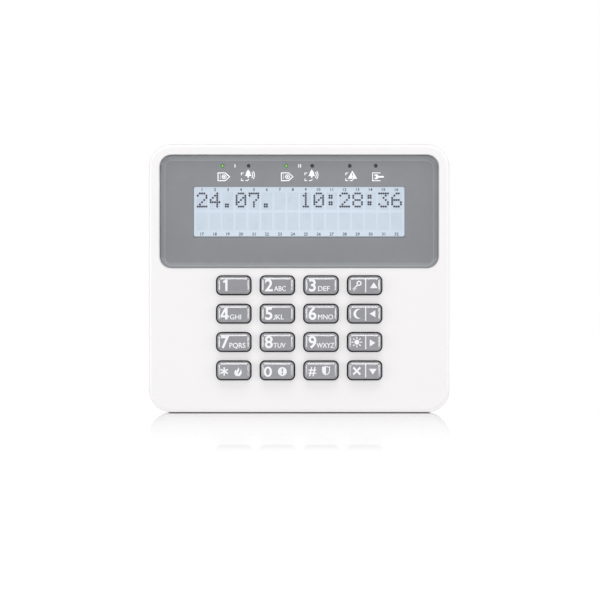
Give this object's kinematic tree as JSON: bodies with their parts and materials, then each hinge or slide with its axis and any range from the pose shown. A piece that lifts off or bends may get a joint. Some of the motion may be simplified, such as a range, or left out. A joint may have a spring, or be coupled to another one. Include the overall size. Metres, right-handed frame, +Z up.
{
  "type": "alarm keypad panel",
  "caption": "Wall-mounted alarm keypad: white two-part housing, wide smoked window over a character display and status lights, grid of grey keys below.",
  "frame": {"origin": "centre of the rear face that lies on the wall", "axes": "+Z up, +X to the right as seen from the front, +Y into the wall, so the keys face -Y"},
  "size_m": [0.139, 0.022, 0.124],
  "materials": {
    "housing_white": "fine moulded satin",
    "lens_smoke": "polished clear sheet with a light grey tint",
    "mask_print": "screen-printed grey",
    "display_glass": "polished, light blue-grey",
    "light_guide": "frosted clear",
    "black_plastic": "black moulded",
    "contact_metal": "tinned",
    "status_green": "clear tinted lamp body",
    "pipe_clear": "clear moulded",
    "board_green": "solder resist",
    "screw_steel": "zinc plated",
    "silicone": "translucent milky",
    "lamp_white": "small white lamps",
    "terminal_green": "moulded",
    "clamp_brass": "plated",
    "chip_black": "moulded",
    "plunger_ivory": "moulded",
    "can_aluminium": "drawn can",
    "key_grey": "translucent grey with a satin top",
    "carbon": "conductive carbon"
  },
  "bodies": {
    "base": {"rear_cover": "housing_white"},
    "front": {"front_cover": "housing_white", "window_lens": "lens_smoke", "window_mask": "mask_print", "display_glass": "display_glass", "display_holder": "black_plastic", "display_light_guide": "light_guide", "display_pins": "contact_metal", "status_lights": "status_green", "light_shade": "black_plastic", "light_pipes": "pipe_clear", "main_board": "board_green", "board_screws": "screw_steel", "keypad_mat": "silicone", "terminal_block": "terminal_green", "terminal_screws": "screw_steel", "terminal_clamps": "clamp_brass", "sounder": "black_plastic", "tamper_switch": "chip_black", "controller": "chip_black", "controller_leads": "contact_metal", "small_chips": "chip_black", "crystal": "contact_metal", "capacitors": "can_aluminium", "regulator": "chip_black", "service_header": "black_plastic", "key_lights": "lamp_white"},
    "tamper": {"tamper_plunger": "plunger_ivory"},
    "button_1": {"key_1": "key_grey", "pill_1": "carbon"},
    "button_2": {"key_2": "key_grey", "pill_2": "carbon"},
    "button_3": {"key_3": "key_grey", "pill_3": "carbon"},
    "button_up": {"key_up": "key_grey", "pill_up": "carbon"},
    "button_4": {"key_4": "key_grey", "pill_4": "carbon"},
    "button_5": {"key_5": "key_grey", "pill_5": "carbon"},
    "button_6": {"key_6": "key_grey", "pill_6": "carbon"},
    "button_left": {"key_left": "key_grey", "pill_left": "carbon"},
    "button_7": {"key_7": "key_grey", "pill_7": "carbon"},
    "button_8": {"key_8": "key_grey", "pill_8": "carbon"},
    "button_9": {"key_9": "key_grey", "pill_9": "carbon"},
    "button_right": {"key_right": "key_grey", "pill_right": "carbon"},
    "button_star": {"key_star": "key_grey", "pill_star": "carbon"},
    "button_0": {"key_0": "key_grey", "pill_0": "carbon"},
    "button_hash": {"key_hash": "key_grey", "pill_hash": "carbon"},
    "button_down": {"key_down": "key_grey", "pill_down": "carbon"}
  },
  "joints": [
    {"name": "front_tilt", "type": "hinge", "parent": "base", "child": "front", "pos_m": [0, -0.0084, 0.0608], "axis": [-1, 0, 0], "range_deg": [0, 35]},
    {"name": "tamper_travel", "type": "slide", "parent": "front", "child": "tamper", "axis": [0, 1, 0], "range_m": [0, 0.0015]},
    {"name": "press_1", "type": "slide", "parent": "front", "child": "button_1", "axis": [0, 1, 0], "range_m": [0, 0.0011], "stiffness_N_per_m": 400, "springref_m": -0.0005},
    {"name": "press_2", "type": "slide", "parent": "front", "child": "button_2", "axis": [0, 1, 0], "range_m": [0, 0.0011], "stiffness_N_per_m": 400, "springref_m": -0.0005},
    {"name": "press_3", "type": "slide", "parent": "front", "child": "button_3", "axis": [0, 1, 0], "range_m": [0, 0.0011], "stiffness_N_per_m": 400, "springref_m": -0.0005},
    {"name": "press_up", "type": "slide", "parent": "front", "child": "button_up", "axis": [0, 1, 0], "range_m": [0, 0.0011], "stiffness_N_per_m": 400, "springref_m": -0.0005},
    {"name": "press_4", "type": "slide", "parent": "front", "child": "button_4", "axis": [0, 1, 0], "range_m": [0, 0.0011], "stiffness_N_per_m": 400, "springref_m": -0.0005},
    {"name": "press_5", "type": "slide", "parent": "front", "child": "button_5", "axis": [0, 1, 0], "range_m": [0, 0.0011], "stiffness_N_per_m": 400, "springref_m": -0.0005},
    {"name": "press_6", "type": "slide", "parent": "front", "child": "button_6", "axis": [0, 1, 0], "range_m": [0, 0.0011], "stiffness_N_per_m": 400, "springref_m": -0.0005},
    {"name": "press_left", "type": "slide", "parent": "front", "child": "button_left", "axis": [0, 1, 0], "range_m": [0, 0.0011], "stiffness_N_per_m": 400, "springref_m": -0.0005},
    {"name": "press_7", "type": "slide", "parent": "front", "child": "button_7", "axis": [0, 1, 0], "range_m": [0, 0.0011], "stiffness_N_per_m": 400, "springref_m": -0.0005},
    {"name": "press_8", "type": "slide", "parent": "front", "child": "button_8", "axis": [0, 1, 0], "range_m": [0, 0.0011], "stiffness_N_per_m": 400, "springref_m": -0.0005},
    {"name": "press_9", "type": "slide", "parent": "front", "child": "button_9", "axis": [0, 1, 0], "range_m": [0, 0.0011], "stiffness_N_per_m": 400, "springref_m": -0.0005},
    {"name": "press_right", "type": "slide", "parent": "front", "child": "button_right", "axis": [0, 1, 0], "range_m": [0, 0.0011], "stiffness_N_per_m": 400, "springref_m": -0.0005},
    {"name": "press_star", "type": "slide", "parent": "front", "child": "button_star", "axis": [0, 1, 0], "range_m": [0, 0.0011], "stiffness_N_per_m": 400, "springref_m": -0.0005},
    {"name": "press_0", "type": "slide", "parent": "front", "child": "button_0", "axis": [0, 1, 0], "range_m": [0, 0.0011], "stiffness_N_per_m": 400, "springref_m": -0.0005},
    {"name": "press_hash", "type": "slide", "parent": "front", "child": "button_hash", "axis": [0, 1, 0], "range_m": [0, 0.0011], "stiffness_N_per_m": 400, "springref_m": -0.0005},
    {"name": "press_down", "type": "slide", "parent": "front", "child": "button_down", "axis": [0, 1, 0], "range_m": [0, 0.0011], "stiffness_N_per_m": 400, "springref_m": -0.0005}
  ],
  "couplings": [
    {"joint": "tamper_travel", "follows": "front_tilt", "m_per_rad": 0.00245}
  ]
}
